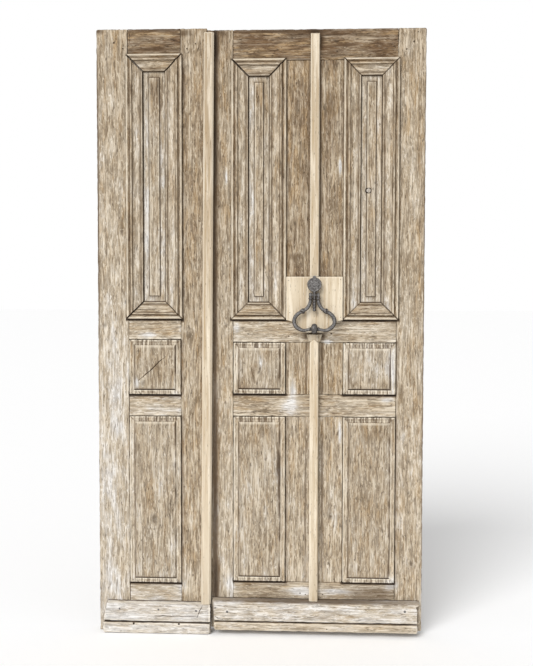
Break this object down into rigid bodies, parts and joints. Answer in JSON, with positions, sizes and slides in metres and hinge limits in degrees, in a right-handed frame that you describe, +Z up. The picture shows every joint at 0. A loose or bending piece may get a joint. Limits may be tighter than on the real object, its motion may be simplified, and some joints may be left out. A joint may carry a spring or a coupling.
{
  "type": "entrance door",
  "caption": "Tall panelled oak entrance door: a narrow leaf and a wide leaf with raised panels, cover strips, plinth boards and a swinging forged drop knocker.",
  "frame": {"origin": "on the outer hanging edge of the narrow left leaf, at the middle of its height and thickness", "axes": "+X across the door from the narrow leaf's hanging edge to the wide leaf's, -Y out of the moulded front, +Z up"},
  "size_m": [1.259, 0.1083, 2.336],
  "materials": {
    "weathered_oak": "weathered open-grained oak, matt",
    "newer_oak": "newer pale oak, lightly greyed, matt",
    "bleached_oak": "bleached oak with worn limewash, matt",
    "forged_iron": "dark waxed forged iron"
  },
  "bodies": {
    "left_leaf": {"left_bottom_rail": "weathered_oak", "left_cover_strip": "weathered_oak", "left_drip_moulding": "bleached_oak", "left_frieze_rail": "weathered_oak", "left_hanging_stile": "weathered_oak", "left_lock_rail": "weathered_oak", "left_lower_panel": "weathered_oak", "left_meeting_stile": "weathered_oak", "left_moulding_bottom": "weathered_oak", "left_moulding_left": "weathered_oak", "left_moulding_right": "weathered_oak", "left_moulding_top": "weathered_oak", "left_plinth_board": "bleached_oak", "left_small_panel": "weathered_oak", "left_top_rail": "weathered_oak", "left_upper_panel": "weathered_oak"},
    "right_leaf": {"centre_strip_lower": "newer_oak", "centre_strip_upper": "newer_oak", "knocker_board": "newer_oak", "knocker_boss": "forged_iron", "right_bottom_rail": "weathered_oak", "right_drip_moulding": "bleached_oak", "right_far_lower_panel": "weathered_oak", "right_far_moulding_bottom": "weathered_oak", "right_far_moulding_left": "weathered_oak", "right_far_moulding_right": "weathered_oak", "right_far_moulding_top": "weathered_oak", "right_far_small_panel": "weathered_oak", "right_far_upper_panel": "weathered_oak", "right_frieze_rail": "weathered_oak", "right_hanging_stile": "weathered_oak", "right_lock_rail": "weathered_oak", "right_lower_muntin": "weathered_oak", "right_meeting_stile": "weathered_oak", "right_middle_muntin": "weathered_oak", "right_near_lower_panel": "weathered_oak", "right_near_moulding_bottom": "weathered_oak", "right_near_moulding_left": "weathered_oak", "right_near_moulding_right": "weathered_oak", "right_near_moulding_top": "weathered_oak", "right_near_small_panel": "weathered_oak", "right_near_upper_panel": "weathered_oak", "right_plinth_board": "bleached_oak", "right_top_rail": "weathered_oak", "right_upper_muntin": "weathered_oak"},
    "knocker": {"knocker_drop": "forged_iron"}
  },
  "joints": [
    {"name": "right_leaf_hinge", "type": "hinge", "parent": "left_leaf", "child": "right_leaf", "pos_m": [1.259, 0.0225, 0], "axis": [0, 0, -1], "range_deg": [0, 100]},
    {"name": "knocker_swing", "type": "hinge", "parent": "right_leaf", "child": "knocker", "pos_m": [0.84, -0.0653, 0.154], "axis": [-1, 0, 0], "range_deg": [0, 80]}
  ]
}
